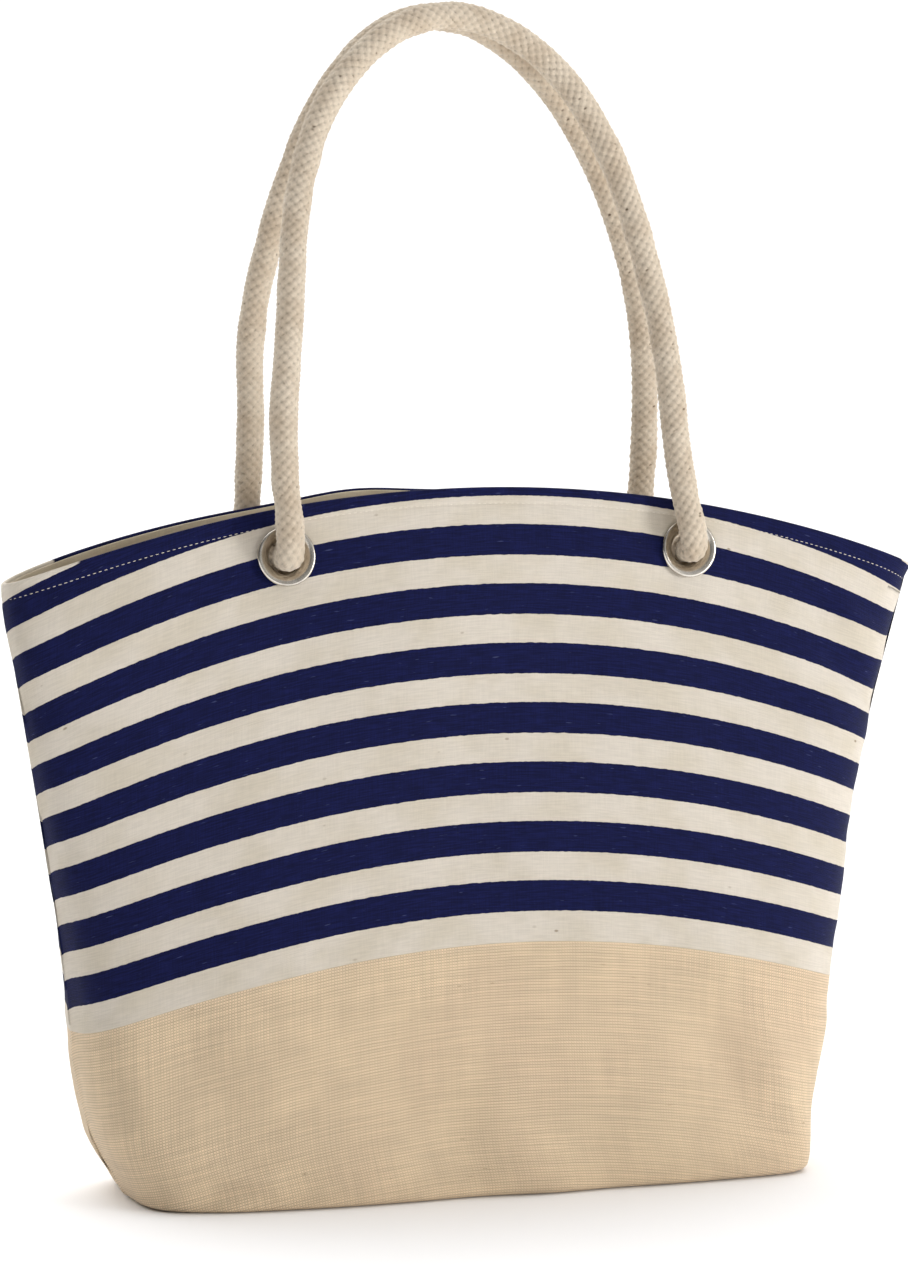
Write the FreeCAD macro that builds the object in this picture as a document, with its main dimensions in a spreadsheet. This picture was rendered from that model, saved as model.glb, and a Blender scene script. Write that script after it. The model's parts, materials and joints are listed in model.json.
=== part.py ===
import FreeCAD, Part
import math
import os

# Striped canvas and jute beach bag with two rope handles.
# Frame: +Z up, the front face looks along -Y, +X is to the right seen from the front.
# The origin is the middle of the base, on the surface that the bag stands on.

Vector = FreeCAD.Vector

doc = FreeCAD.newDocument("beach_bag")
sheet = doc.addObject("Spreadsheet::Sheet", "dimensions")

DIMENSIONS = [
    # body of the bag
    ("mouth_half_width", 248.0),
    ("mouth_end_height", 315.5),
    ("mouth_peak_height", 360.0),
    ("mouth_half_depth", 28.0),
    ("mouth_squareness", 2.8),
    ("belly_half_width", 196.0),
    ("base_half_depth", 67.0),
    ("base_squareness", 4.6),
    ("squareness_height", 100.0),
    ("base_tuck_width", 18.0),
    ("base_tuck_depth", 4.0),
    ("base_tuck_height", 34.0),
    ("jute_peak_height", 130.0),
    ("jute_seam_radius", 580.0),
    # cloth thicknesses, and the gap between layers
    ("canvas_thickness", 1.2),
    ("jute_thickness", 1.6),
    ("lining_inset", 2.2),
    ("lining_thickness", 0.6),
    ("layer_gap", 0.3),
    # eyelets
    ("eyelet_spacing_half", 109.0),
    ("eyelet_height", 328.0),
    ("eyelet_bore_radius", 8.3),
    ("eyelet_wall", 0.6),
    ("ring_inner_radius", 8.0),
    ("ring_outer_radius", 14.5),
    ("ring_half_height", 1.1),
    ("washer_radius", 14.0),
    ("washer_thickness", 0.8),
    ("curl_radius", 0.6),
    # rope handles
    ("rope_radius", 7.25),
    ("handle_pivot_depth", 44.2),
    ("handle_rise", 277.5),
    ("handle_top_gap", 0.4),
    ("stub_gap", 1.7),
    ("knot_half_width", 17.0),
    ("knot_half_depth", 12.5),
    ("knot_half_height", 18.0),
    ("rope_tail_length", 42.0),
]
for row, (alias, number) in enumerate(DIMENSIONS, start=1):
    sheet.set("A%d" % row, alias)
    sheet.set("B%d" % row, str(number))
    sheet.setAlias("B%d" % row, alias)
doc.recompute()


def size(alias):
    """The number in the cell with this alias."""
    return float(getattr(sheet, alias))


def bind(item, **expressions):
    """Tie properties of a document object to the spreadsheet."""
    for name, expression in expressions.items():
        item.setExpression(name, expression)
    return item


# ---------------------------------------------------------------- shape of the bag

SECTION_POINTS = 24
SECTIONS = 9
SECTION_TOP = 372.0
SECTION_CROWDING = 1.35  # above 1, the sections stand closer together near the floor
SEAM_ANGLE = math.radians(0.35)
TUCK_POWER = 2.2
DEPTH_POWER = 1.3
SLOPE_STEP = 0.5
EVEN_FLARE = 0.4  # share of the flare that grows evenly with height; the rest grows with its square

FRONT, BACK = -1, 1
SIDES = (("front", FRONT), ("back", BACK))
ENDS = (("left", -1), ("right", 1))


def tuck(height):
    """How far the foot of the bag is drawn in: 1 on the floor, 0 above the tucked part."""
    return max(0.0, 1.0 - height / size("base_tuck_height")) ** TUCK_POWER


def half_width(height):
    """Half of the bag's width at a height: nearly upright low down, flaring to the mouth."""
    rise = height / size("mouth_end_height")
    flare = size("mouth_half_width") - size("belly_half_width")
    widening = flare * (EVEN_FLARE * rise + (1.0 - EVEN_FLARE) * rise**2)
    return size("belly_half_width") + widening - size("base_tuck_width") * tuck(height)


def half_depth(height):
    """Half of the bag's depth at a height: deep at the base, narrow at the mouth."""
    rise = height / size("mouth_peak_height")
    narrowing = (size("base_half_depth") - size("mouth_half_depth")) * rise**DEPTH_POWER
    return size("base_half_depth") - narrowing - size("base_tuck_depth") * tuck(height)


def squareness(height):
    """Exponent of the superellipse: a rounded rectangle at the base, a slim oval above it."""
    share = max(0.0, 1.0 - height / size("squareness_height")) ** 2
    return size("mouth_squareness") + (size("base_squareness") - size("mouth_squareness")) * share


def section_point(height, angle, inset):
    """A point of the bag's outline at a height, drawn in by an inset."""
    power = squareness(height)
    across = math.cos(angle)
    along = math.sin(angle)
    reach = (abs(across) ** power + abs(along) ** power) ** (-1.0 / power)
    wide = (half_width(height) - inset) * reach * across
    deep = (half_depth(height) - inset) * reach * along
    return Vector(wide, deep, height)


def wall_depth(across, height):
    """Distance of the outer surface from the middle plane Y = 0."""
    power = squareness(height)
    return half_depth(height) * (1.0 - abs(across / half_width(height)) ** power) ** (1.0 / power)


def curve(points):
    """A smooth edge through points."""
    spline = Part.BSplineCurve()
    spline.interpolate(points)
    return spline.toShape()


def side_wire(side, height, outer_inset, inner_inset):
    """The closed outline of one side's cloth at a height, from seam to seam."""
    span = math.pi - 2.0 * SEAM_ANGLE
    angles = [side * (SEAM_ANGLE + span * step / SECTION_POINTS) for step in range(SECTION_POINTS + 1)]
    outer = [section_point(height, angle, outer_inset) for angle in angles]
    inner = [section_point(height, angle, inner_inset) for angle in reversed(angles)]
    edges = [
        curve(outer),
        Part.makeLine(outer[-1], inner[0]),
        curve(inner),
        Part.makeLine(inner[-1], outer[0]),
    ]
    return Part.Wire(edges)


def cloth_side(name, side, outer_inset, inner_inset, foot=0.0):
    """One side's cloth, from its foot to above the mouth, before its edges are cut."""
    rise = SECTION_TOP - foot
    heights = [foot + rise * (step / SECTIONS) ** SECTION_CROWDING for step in range(SECTIONS + 1)]
    wires = [side_wire(side, height, outer_inset, inner_inset) for height in heights]
    item = doc.addObject("Part::Feature", name)
    item.Shape = Part.makeLoft(wires, True, False)
    return item


def base_sheet(name, inset, foot, thickness):
    """A flat sheet that fills the foot of the bag."""
    angles = [2.0 * math.pi * step / (4 * SECTION_POINTS) for step in range(4 * SECTION_POINTS)]
    outline = Part.BSplineCurve()
    outline.interpolate([section_point(foot, angle, inset) for angle in angles], PeriodicFlag=True)
    item = doc.addObject("Part::Feature", name)
    item.Shape = Part.Face(Part.Wire(outline.toShape())).extrude(Vector(0, 0, thickness))
    item.Label = name
    return item


# ---------------------------------------------------------------- helpers for solids

ALONG_Y = FreeCAD.Rotation(Vector(1, 0, 0), -90)
CUTTER_LENGTH = 400.0


def boolean(kind, name, base, tool):
    """A Part::Cut or Part::Common of two document objects."""
    item = doc.addObject(kind, name)
    item.Base = base
    item.Tool = tool
    return item


def fuse(name, pieces):
    """One solid made of several overlapping ones."""
    item = doc.addObject("Part::MultiFuse", name)
    item.Shapes = pieces
    return item


def arch_cutter(name, radius, peak):
    """A long cylinder along Y whose top line is the arched edge of a cloth panel."""
    item = doc.addObject("Part::Cylinder", name)
    item.Height = CUTTER_LENGTH
    item.Placement = FreeCAD.Placement(Vector(0, -CUTTER_LENGTH / 2, 0), ALONG_Y)
    return bind(item, **{"Radius": radius, "Placement.Base.z": "%s - %s" % (peak, radius)})


def cylinder(name, radius, height, placement):
    item = doc.addObject("Part::Cylinder", name)
    item.Placement = placement
    return bind(item, Radius=radius, Height=height)


# ---------------------------------------------------------------- eyelet places

def eyelet_frame(side, end):
    """Placement of an eyelet: its local +Z points out of the bag, from the cloth's outer surface."""
    across = end * size("eyelet_spacing_half")
    height = size("eyelet_height")
    step = SLOPE_STEP
    slope_across = (wall_depth(across + step, height) - wall_depth(across - step, height)) / (2 * step)
    slope_up = (wall_depth(across, height + step) - wall_depth(across, height - step)) / (2 * step)
    outward = Vector(-slope_across, side, -slope_up)
    centre = Vector(across, side * wall_depth(across, height), height)
    return FreeCAD.Placement(centre, FreeCAD.Rotation(Vector(0, 0, 1), outward))


def along_axis(frame, distance):
    """The same placement, moved along its own axis."""
    return frame.multiply(FreeCAD.Placement(Vector(0, 0, distance), FreeCAD.Rotation()))


eyelet_places = {
    (side_name, end_name): eyelet_frame(side, end) for side_name, side in SIDES for end_name, end in ENDS
}

# ---------------------------------------------------------------- cloth panels

mouth_sag = size("mouth_peak_height") - size("mouth_end_height")
mouth_radius = (size("mouth_half_width") ** 2 + mouth_sag**2) / (2 * mouth_sag)
next_row = len(DIMENSIONS) + 1
sheet.set("A%d" % next_row, "mouth_radius")
sheet.set("B%d" % next_row, str(round(mouth_radius, 3)))
sheet.setAlias("B%d" % next_row, "mouth_radius")
doc.recompute()


PUNCH_LENGTH = 14.0


def pierced(name, cloth, side_name):
    """The cloth with its two eyelet holes."""
    for end_name, _ in ENDS:
        place = along_axis(eyelet_places[side_name, end_name], -PUNCH_LENGTH / 2)
        punch = cylinder(
            "%s_%s_punch" % (name, end_name),
            "dimensions.eyelet_bore_radius + dimensions.eyelet_wall + dimensions.layer_gap",
            "%g mm" % PUNCH_LENGTH,
            place,
        )
        cloth = boolean("Part::Cut", "%s_%s_pierced" % (name, end_name), cloth, punch)
    cloth.Label = name
    return cloth


def canvas_panel(side_name, side):
    """Striped canvas, from the arched jute seam to the arched mouth."""
    name = side_name + "_canvas_panel"
    cloth = cloth_side(name + "_cloth", side, 0.0, size("canvas_thickness"))
    below = arch_cutter(name + "_seam", "dimensions.jute_seam_radius", "dimensions.jute_peak_height")
    above = arch_cutter(name + "_mouth", "dimensions.mouth_radius", "dimensions.mouth_peak_height")
    upper = boolean("Part::Cut", name + "_upper", cloth, below)
    return pierced(name, boolean("Part::Common", name + "_trimmed", upper, above), side_name)


def jute_panel(side_name, side):
    """Jute, from the floor to the arched seam."""
    name = side_name + "_jute_panel"
    cloth = cloth_side(name + "_cloth", side, 0.0, size("jute_thickness"))
    seam = arch_cutter(name + "_seam", "dimensions.jute_seam_radius", "dimensions.jute_peak_height")
    panel = boolean("Part::Common", name + "_trimmed", cloth, seam)
    panel.Label = name
    return panel


def lining_panel(side_name, side):
    """Plain cotton lining, from just above the base to the mouth."""
    name = side_name + "_lining"
    outer_inset = size("lining_inset")
    foot = size("jute_thickness") + size("lining_thickness") + 2 * size("layer_gap")
    cloth = cloth_side(name + "_cloth", side, outer_inset, outer_inset + size("lining_thickness"), foot)
    above = arch_cutter(name + "_mouth", "dimensions.mouth_radius", "dimensions.mouth_peak_height")
    return pierced(name, boolean("Part::Common", name + "_trimmed", cloth, above), side_name)


parts = []
for side_name, side in SIDES:
    parts.append(canvas_panel(side_name, side))
    parts.append(jute_panel(side_name, side))
    parts.append(lining_panel(side_name, side))

base_inset = size("jute_thickness") + size("layer_gap")
parts.append(base_sheet("jute_base", base_inset, 0.0, size("jute_thickness")))
parts.append(base_sheet("base_lining", base_inset, base_inset, size("lining_thickness")))

# ---------------------------------------------------------------- eyelets and washers

RING_GAP = 0.7  # the lofted cloth stands up to 0.45 outside the formula that places the ring


def eyelet(name, place):
    """A rolled ring on the outside, and a barrel that goes through the cloth and curls inside."""
    lift = size("ring_half_height") + RING_GAP
    layers = size("lining_inset") + size("lining_thickness") + size("washer_thickness")
    depth = layers + 4 * size("layer_gap")

    profile = doc.addObject("Part::Ellipse", name + "_ring_profile")
    profile.Placement = FreeCAD.Placement(Vector(0, 0, lift), FreeCAD.Rotation(Vector(1, 0, 0), 90))
    middle = "(dimensions.ring_outer_radius + dimensions.ring_inner_radius) / 2"
    half = "(dimensions.ring_outer_radius - dimensions.ring_inner_radius) / 2"
    bind(profile, MajorRadius=half, MinorRadius="dimensions.ring_half_height")
    profile.setExpression("Placement.Base.x", middle)
    ring = doc.addObject("Part::Revolution", name + "_ring")
    ring.Source = profile
    ring.Axis = Vector(0, 0, 1)
    ring.Angle = 360
    ring.Solid = True

    below = FreeCAD.Placement(Vector(0, 0, -depth), FreeCAD.Rotation())
    outside = cylinder(
        name + "_barrel",
        "dimensions.eyelet_bore_radius + dimensions.eyelet_wall",
        "%g mm" % (depth + lift),
        below,
    )
    curl = doc.addObject("Part::Torus", name + "_curl")
    curl.Placement = below
    bind(
        curl,
        Radius1="dimensions.eyelet_bore_radius + dimensions.eyelet_wall + dimensions.curl_radius / 2",
        Radius2="dimensions.curl_radius",
    )
    bore_place = FreeCAD.Placement(Vector(0, 0, -2 * depth), FreeCAD.Rotation())
    bore = cylinder(name + "_bore", "dimensions.eyelet_bore_radius", "%g mm" % (4 * depth), bore_place)
    body = fuse(name + "_body", [ring, outside, curl])
    item = boolean("Part::Cut", name, body, bore)
    item.Placement = place
    item.Label = name
    return item


def washer(name, place):
    """The ring that the barrel clinches against the lining."""
    depth = size("lining_inset") + size("lining_thickness") + size("layer_gap") + size("washer_thickness")
    start = FreeCAD.Placement(Vector(0, 0, -depth), FreeCAD.Rotation())
    disc = cylinder(name + "_disc", "dimensions.washer_radius", "dimensions.washer_thickness", start)
    hole = cylinder(
        name + "_hole",
        "dimensions.eyelet_bore_radius + dimensions.eyelet_wall + dimensions.layer_gap / 2",
        "dimensions.washer_thickness",
        start,
    )
    item = boolean("Part::Cut", name, disc, hole)
    item.Placement = place
    item.Label = name
    return item


for (side_name, end_name), place in eyelet_places.items():
    parts.append(eyelet("%s_%s_eyelet" % (side_name, end_name), place))
    parts.append(washer("%s_%s_washer" % (side_name, end_name), place))

# ---------------------------------------------------------------- knots inside the bag

TAIL_LEAN = 0.25  # a tail leans to the middle of the bag by this share of its drop


def rope_knot(name, side, end):
    """The rope's end: a straight stretch through the eyelet, a knot inside, and a short tail."""
    across = end * size("eyelet_spacing_half")
    height = size("eyelet_height")
    wall = wall_depth(across, height)
    layers = size("lining_inset") + size("lining_thickness") + size("washer_thickness")
    clinch = layers + 4 * size("layer_gap") + 2 * size("curl_radius")
    knot_depth = wall - clinch - size("knot_half_depth")
    stub_end = size("handle_pivot_depth") - size("rope_radius") - size("stub_gap")

    knot = doc.addObject("Part::Ellipsoid", name + "_lump")
    knot.Placement = FreeCAD.Placement(Vector(across, side * knot_depth, height), FreeCAD.Rotation())
    bind(
        knot,
        Radius1="dimensions.knot_half_height",
        Radius2="dimensions.knot_half_width",
        Radius3="dimensions.knot_half_depth",
    )
    outward = FreeCAD.Rotation(Vector(0, 0, 1), Vector(0, side, 0))
    stub = cylinder(
        name + "_stub",
        "dimensions.rope_radius",
        "%g mm" % (stub_end - knot_depth),
        FreeCAD.Placement(Vector(across, side * knot_depth, height), outward),
    )
    down = FreeCAD.Rotation(Vector(0, 0, 1), Vector(-TAIL_LEAN * end, 0, -1))
    tail = cylinder(
        name + "_tail",
        "dimensions.rope_radius",
        "dimensions.rope_tail_length",
        FreeCAD.Placement(Vector(across, side * knot_depth, height), down),
    )
    item = fuse(name, [knot, stub, tail])
    item.Label = name
    return item


for side_name, side in SIDES:
    for end_name, end in ENDS:
        parts.append(rope_knot("%s_%s_knot" % (side_name, end_name), side, end))

# ---------------------------------------------------------------- rope handles

# Route of each rope in its handle's own plane: distance across the bag, and distance from the pivot line.
FRONT_ROUTE = [
    (-109, 0), (-113, 60), (-106, 120), (-100, 185), (-82, 235), (-45, 271), (-5, 279),
    (39, 257), (71, 209), (88, 150), (98, 95), (100, 45), (109, 0),
]
BACK_ROUTE = [
    (-109, 0), (-108, 65), (-111, 120), (-97, 180), (-77, 235), (-45, 272), (-6, 279),
    (37, 255), (73, 208), (95, 159), (108, 110), (111, 50), (109, 0),
]
ARC_SHARE = 0.45  # share of each run that the arc at its end takes


def handle_point(side, across, along):
    """A point of a handle: both handles lean in until their tops nearly touch."""
    top_depth = size("rope_radius") + size("handle_top_gap") / 2
    lean = math.asin((size("handle_pivot_depth") - top_depth) / size("handle_rise"))
    depth = size("handle_pivot_depth") - along * math.sin(lean)
    return Vector(across, side * depth, size("eyelet_height") + along * math.cos(lean))


def rounded_route(points):
    """Straight runs joined by tangent arcs, each as large as its two runs allow."""
    edges = []
    radii = []
    start = points[0]
    for before, corner, after in zip(points, points[1:], points[2:]):
        arriving = (corner - before).normalize()
        leaving = (after - corner).normalize()
        half_turn = arriving.getAngle(leaving) / 2
        reach = ARC_SHARE * min((corner - before).Length, (after - corner).Length)
        radii.append(reach / math.tan(half_turn))
        first = corner - arriving * reach
        last = corner + leaving * reach
        inward = (leaving - arriving).normalize()
        middle = corner + inward * radii[-1] * (1 / math.cos(half_turn) - 1)
        edges.append(Part.LineSegment(start, first).toShape())
        edges.append(Part.Arc(first, middle, last).toShape())
        start = last
    edges.append(Part.LineSegment(start, points[-1]).toShape())
    return Part.Wire(edges), radii


def handle_rope(name, side, route):
    """One rope handle between its two pivots, with round ends that turn in front of the eyelets."""
    radius = size("rope_radius")
    points = [handle_point(side, across, along) for across, along in route]
    path, radii = rounded_route(points)
    circle = Part.Wire(Part.makeCircle(radius, points[0], points[1] - points[0]))
    tube = doc.addObject("Part::Feature", name + "_tube")
    tube.Shape = path.makePipeShell([circle], True, False)
    expected = math.pi * radius**2 * path.Length
    print("%s: length %.1f, tightest radius %.1f, volume %.4f of section times length"
          % (name, path.Length, min(radii), tube.Shape.Volume / expected))
    print("  radii " + " ".join("%.0f" % radius_found for radius_found in radii))
    pieces = [tube]
    for number, point in enumerate((points[0], points[-1])):
        ball = doc.addObject("Part::Sphere", "%s_ball_%d" % (name, number))
        ball.Placement = FreeCAD.Placement(point, FreeCAD.Rotation())
        pieces.append(bind(ball, Radius="dimensions.rope_radius"))
    item = fuse(name, pieces)
    item.Label = name
    return item


parts.append(handle_rope("front_handle_rope", FRONT, FRONT_ROUTE))
parts.append(handle_rope("back_handle_rope", BACK, BACK_ROUTE))

# ---------------------------------------------------------------- check and export

doc.recompute()
for item in doc.Objects:
    if "Invalid" in item.State or "Error" in item.State:
        raise RuntimeError("%s did not compute: %s" % (item.Label, item.State))
for item in parts:
    if item.Shape.isNull() or not item.Shape.isValid():
        raise RuntimeError("%s has no valid shape" % item.Label)

os.makedirs("parts", exist_ok=True)
for item in parts:
    item.Shape.exportStep("parts/%s.step" % item.Label)
    box = item.Shape.optimalBoundingBox()
    print("%-24s solids %d volume %9.1f  X %.1f..%.1f  Y %.1f..%.1f  Z %.1f..%.1f" % (
        item.Label, len(item.Shape.Solids), item.Shape.Volume,
        box.XMin, box.XMax, box.YMin, box.YMax, box.ZMin, box.ZMax))
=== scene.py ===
import json
import math

import bmesh
import bpy
import numpy as np
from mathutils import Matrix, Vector


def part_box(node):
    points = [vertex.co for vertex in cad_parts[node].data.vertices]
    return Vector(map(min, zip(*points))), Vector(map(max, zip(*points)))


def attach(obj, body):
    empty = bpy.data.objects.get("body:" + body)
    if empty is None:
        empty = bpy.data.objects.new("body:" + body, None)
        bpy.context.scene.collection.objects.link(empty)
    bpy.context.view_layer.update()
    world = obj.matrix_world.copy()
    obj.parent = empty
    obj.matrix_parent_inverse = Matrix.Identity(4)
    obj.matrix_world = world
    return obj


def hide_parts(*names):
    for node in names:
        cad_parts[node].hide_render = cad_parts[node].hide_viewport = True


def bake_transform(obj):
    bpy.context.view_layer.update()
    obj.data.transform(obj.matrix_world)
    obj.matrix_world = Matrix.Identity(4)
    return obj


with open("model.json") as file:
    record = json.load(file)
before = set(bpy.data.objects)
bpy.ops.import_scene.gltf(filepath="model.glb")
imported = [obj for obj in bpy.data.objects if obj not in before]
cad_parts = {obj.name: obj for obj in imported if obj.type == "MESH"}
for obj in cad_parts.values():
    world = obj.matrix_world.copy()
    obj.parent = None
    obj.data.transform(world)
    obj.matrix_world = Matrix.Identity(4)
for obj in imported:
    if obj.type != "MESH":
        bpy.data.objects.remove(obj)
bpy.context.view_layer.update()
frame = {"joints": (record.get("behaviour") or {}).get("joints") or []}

# The looks of a striped canvas and jute beach bag with two rope handles. Metres; +Z up, the front faces -Y.

FRONT, BACK = -1, 1
SIDES = (("front", FRONT), ("back", BACK))
ENDS = (("left", -1), ("right", 1))

# ---- camera, light and floor

SENSOR = 36.0
FOCAL_IN_IMAGE_WIDTHS = 4.75
CAMERA_AZIMUTH = math.radians(-18.7)
CAMERA_ELEVATION = math.radians(4.6)
CAMERA_DISTANCE = 2.2385
CAMERA_TARGET = Vector((-0.0092, 0.0, 0.28085))
WHITE_LIGHT = 1.12
WHITE_AXIS = (0.32, 0.944, -0.08)
OVERHEAD_LIGHT = 2.5
OVERHEAD_AXIS = (0.0, 0.55, 0.835)
FRONT_LEFT_LIGHT = 0.08
FRONT_RIGHT_LIGHT = 0.66
KEY_PLACE = Vector((1.75, -1.75, 0.48))
KEY_AIM = Vector((0, 0, 0.28))
KEY_SIZE = 0.7
KEY_POWER = 26
FLOOR_REACH = 8


def make_camera():
    data = bpy.data.cameras.new("camera")
    data.sensor_fit = "HORIZONTAL"
    data.sensor_width = SENSOR
    data.lens = SENSOR * FOCAL_IN_IMAGE_WIDTHS
    data.clip_end = 50.0
    camera = bpy.data.objects.new("camera", data)
    bpy.context.collection.objects.link(camera)
    away = Vector((
        math.sin(CAMERA_AZIMUTH) * math.cos(CAMERA_ELEVATION),
        -math.cos(CAMERA_AZIMUTH) * math.cos(CAMERA_ELEVATION),
        math.sin(CAMERA_ELEVATION),
    ))
    camera.location = CAMERA_TARGET + away * CAMERA_DISTANCE
    camera.rotation_euler = (-away).to_track_quat("-Z", "Y").to_euler()
    bpy.context.scene.camera = camera


def make_key_light():
    data = bpy.data.lights.new("key", "AREA")
    data.shape = "DISK"
    data.size = KEY_SIZE
    data.energy = KEY_POWER
    light = bpy.data.objects.new("key", data)
    bpy.context.collection.objects.link(light)
    light.location = KEY_PLACE
    light.rotation_euler = (KEY_AIM - KEY_PLACE).to_track_quat("-Z", "Y").to_euler()


# ---- node helpers


class Nodes:
    """Short calls that add shader nodes and link them."""

    def __init__(self, name):
        self.material = bpy.data.materials.new(name)
        self.material.use_nodes = True
        self.tree = self.material.node_tree
        self.shader = self.tree.nodes["Principled BSDF"]

    def feed(self, socket, value):
        if isinstance(value, bpy.types.NodeSocket):
            self.tree.links.new(value, socket)
        elif value is not None:
            socket.default_value = value

    def add(self, kind, inputs=None, **settings):
        node = self.tree.nodes.new(kind)
        for key, value in settings.items():
            setattr(node, key, value)
        for key, value in (inputs or {}).items():
            self.feed(node.inputs[key], value)
        return node

    def set(self, name, value):
        """Gives one of the shader's inputs a constant, or another node's output."""
        self.feed(self.shader.inputs[name], value)

    def math(self, operation, a, b=None, clamp=False):
        return self.add("ShaderNodeMath", {0: a, 1: b}, operation=operation, use_clamp=clamp).outputs[0]

    def times(self, a, b):
        return self.math("MULTIPLY", a, b)

    def uv(self, layer):
        place = self.add("ShaderNodeUVMap", uv_map=layer).outputs[0]
        separate = self.add("ShaderNodeSeparateXYZ", {0: place})
        return separate.outputs[0], separate.outputs[1]

    def vector(self, x, y):
        return self.add("ShaderNodeCombineXYZ", {0: x, 1: y}).outputs[0]

    def noise(self, vector, scale, detail, roughness=0.5):
        inputs = {"Vector": vector, "Scale": scale, "Detail": detail, "Roughness": roughness}
        return self.add("ShaderNodeTexNoise", inputs).outputs["Fac"]

    def flecks(self, vector, scale, size, chosen, strength=1.0):
        """Scattered flecks: size is where one fades, and chosen picks how many cells have one."""
        cells = self.add("ShaderNodeTexVoronoi", {"Vector": vector, "Scale": scale}, feature="F1")
        chance = self.add("ShaderNodeSeparateColor", {0: cells.outputs["Color"]})
        shape = self.ramp(cells.outputs["Distance"], *size, strength, 0.0)
        return self.times(shape, self.ramp(chance.outputs[0], *chosen)), chance.outputs[1]

    def ramp(self, value, low, high, out_low=0.0, out_high=1.0):
        inputs = {0: value, 1: low, 2: high, 3: out_low, 4: out_high}
        return self.add("ShaderNodeMapRange", inputs, interpolation_type="SMOOTHSTEP").outputs[0]

    def mix(self, factor, a, b, blend="MIX"):
        inputs = {0: factor, 6: a, 7: b}
        return self.add("ShaderNodeMix", inputs, data_type="RGBA", blend_type=blend).outputs[2]

    def scale_colour(self, colour, factor):
        grey = self.add("ShaderNodeCombineColor", {0: factor, 1: factor, 2: factor})
        return self.mix(1.0, colour, grey.outputs[0], blend="MULTIPLY")

    def bump(self, height, distance):
        inputs = {"Strength": 1.0, "Distance": distance, "Height": height}
        return self.add("ShaderNodeBump", inputs).outputs[0]

    def fabric(self, *values):
        """Sets the shader up as cloth, in the order of the names below, and gives its material."""
        names = ("Base Color", "Normal", "Roughness", "Specular IOR Level", "Sheen Weight", "Sheen Roughness")
        for name, value in zip(names, values):
            self.set(name, value)
        return self.material


def srgb(red, green, blue):
    """A linear colour from the usual 0 to 255 numbers."""
    shares = [value / 255 for value in (red, green, blue)]
    linear = [share / 12.92 if share <= 0.04045 else ((share + 0.055) / 1.055) ** 2.4 for share in shares]
    return (*linear, 1.0)


def weave(nodes, u, v, pitch_u, pitch_v):
    """Height of a plain weave: yarns go over and under by turns. 0 in the gaps, 1 on the crowns."""
    turn_u = nodes.times(u, math.pi / pitch_u)
    turn_v = nodes.times(v, math.pi / pitch_v)
    across = nodes.math("ABSOLUTE", nodes.math("SINE", turn_u))
    along = nodes.math("ABSOLUTE", nodes.math("SINE", turn_v))
    over = nodes.times(nodes.math("COSINE", turn_u), nodes.math("COSINE", turn_v))
    crowns = nodes.math("ABSOLUTE", over)
    ridges = nodes.times(across, along)
    return nodes.math("ADD", nodes.times(crowns, 0.5), nodes.times(ridges, 0.9), clamp=True)


CLOTH_UV = "cloth"
ROPE_UV = "rope"
ROPE_CAVITY_UV = "cavity"
STITCH_UV = "stitch"
STITCH_RINGS, STITCH_AROUND = 7, 6
STITCH_RADIUS = 0.00021

# ---- materials

STRIPE_PITCH = 0.0302
STRIPE_WIDTH = 0.0157
STRIPE_START = 0.0155
CREAM = srgb(212, 203, 190)
NAVY = srgb(15, 20, 62)


def canvas_material():
    nodes = Nodes("striped_canvas")
    u, v = nodes.uv(CLOTH_UV)
    flat = nodes.vector(u, v)

    edge_wobble = nodes.times(nodes.math("SUBTRACT", nodes.noise(flat, 260.0, 3.0), 0.5), 0.0009)
    above_first = nodes.math("SUBTRACT", nodes.math("ADD", v, edge_wobble), STRIPE_START)
    phase = nodes.math("DIVIDE", above_first, STRIPE_PITCH)
    inside = nodes.math("SUBTRACT", phase, nodes.math("FLOOR", phase))
    width = STRIPE_WIDTH / STRIPE_PITCH
    soft = 0.008
    rise = nodes.ramp(inside, 0.0, soft)
    fall = nodes.ramp(inside, width, width + soft, 1.0, 0.0)
    above = nodes.ramp(v, STRIPE_START - 0.001, STRIPE_START)
    stripe = nodes.times(nodes.times(rise, fall), above)

    weft = nodes.noise(nodes.vector(nodes.times(u, 0.07), v), 1300.0, 2.0)
    warp = nodes.noise(nodes.vector(u, nodes.times(v, 0.05)), 1500.0, 2.0)
    blotch = nodes.noise(flat, 34.0, 3.0)

    cream = nodes.mix(nodes.ramp(blotch, 0.35, 0.7), CREAM, srgb(204, 194, 177))
    cream = nodes.scale_colour(cream, nodes.ramp(weft, 0.3, 0.7, 0.94, 1.03))
    cream = nodes.scale_colour(cream, nodes.ramp(warp, 0.3, 0.7, 0.975, 1.02))
    wide = nodes.vector(nodes.times(u, 0.55), v)
    fleck, chance = nodes.flecks(wide, 150.0, (0.05, 0.13), (0.80, 0.84))
    fleck = nodes.times(fleck, nodes.ramp(chance, 0.0, 1.0, 0.2, 0.75))
    cream = nodes.mix(fleck, cream, srgb(128, 108, 84))

    navy = nodes.scale_colour(NAVY, nodes.ramp(weft, 0.3, 0.72, 0.72, 1.3))
    navy = nodes.scale_colour(navy, nodes.ramp(warp, 0.3, 0.7, 0.88, 1.1))
    lint = nodes.ramp(nodes.noise(nodes.vector(nodes.times(u, 0.16), v), 900.0, 1.0), 0.70, 0.80, 0.0, 0.28)
    navy = nodes.mix(lint, navy, srgb(96, 104, 150))

    height = nodes.math("ADD", weave(nodes, u, v, 0.00062, 0.00088), nodes.times(weft, 0.7))
    return nodes.fabric(nodes.mix(stripe, cream, navy), nodes.bump(height, 0.00011), 0.88, 0.12, 0.08, 0.45)


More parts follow.
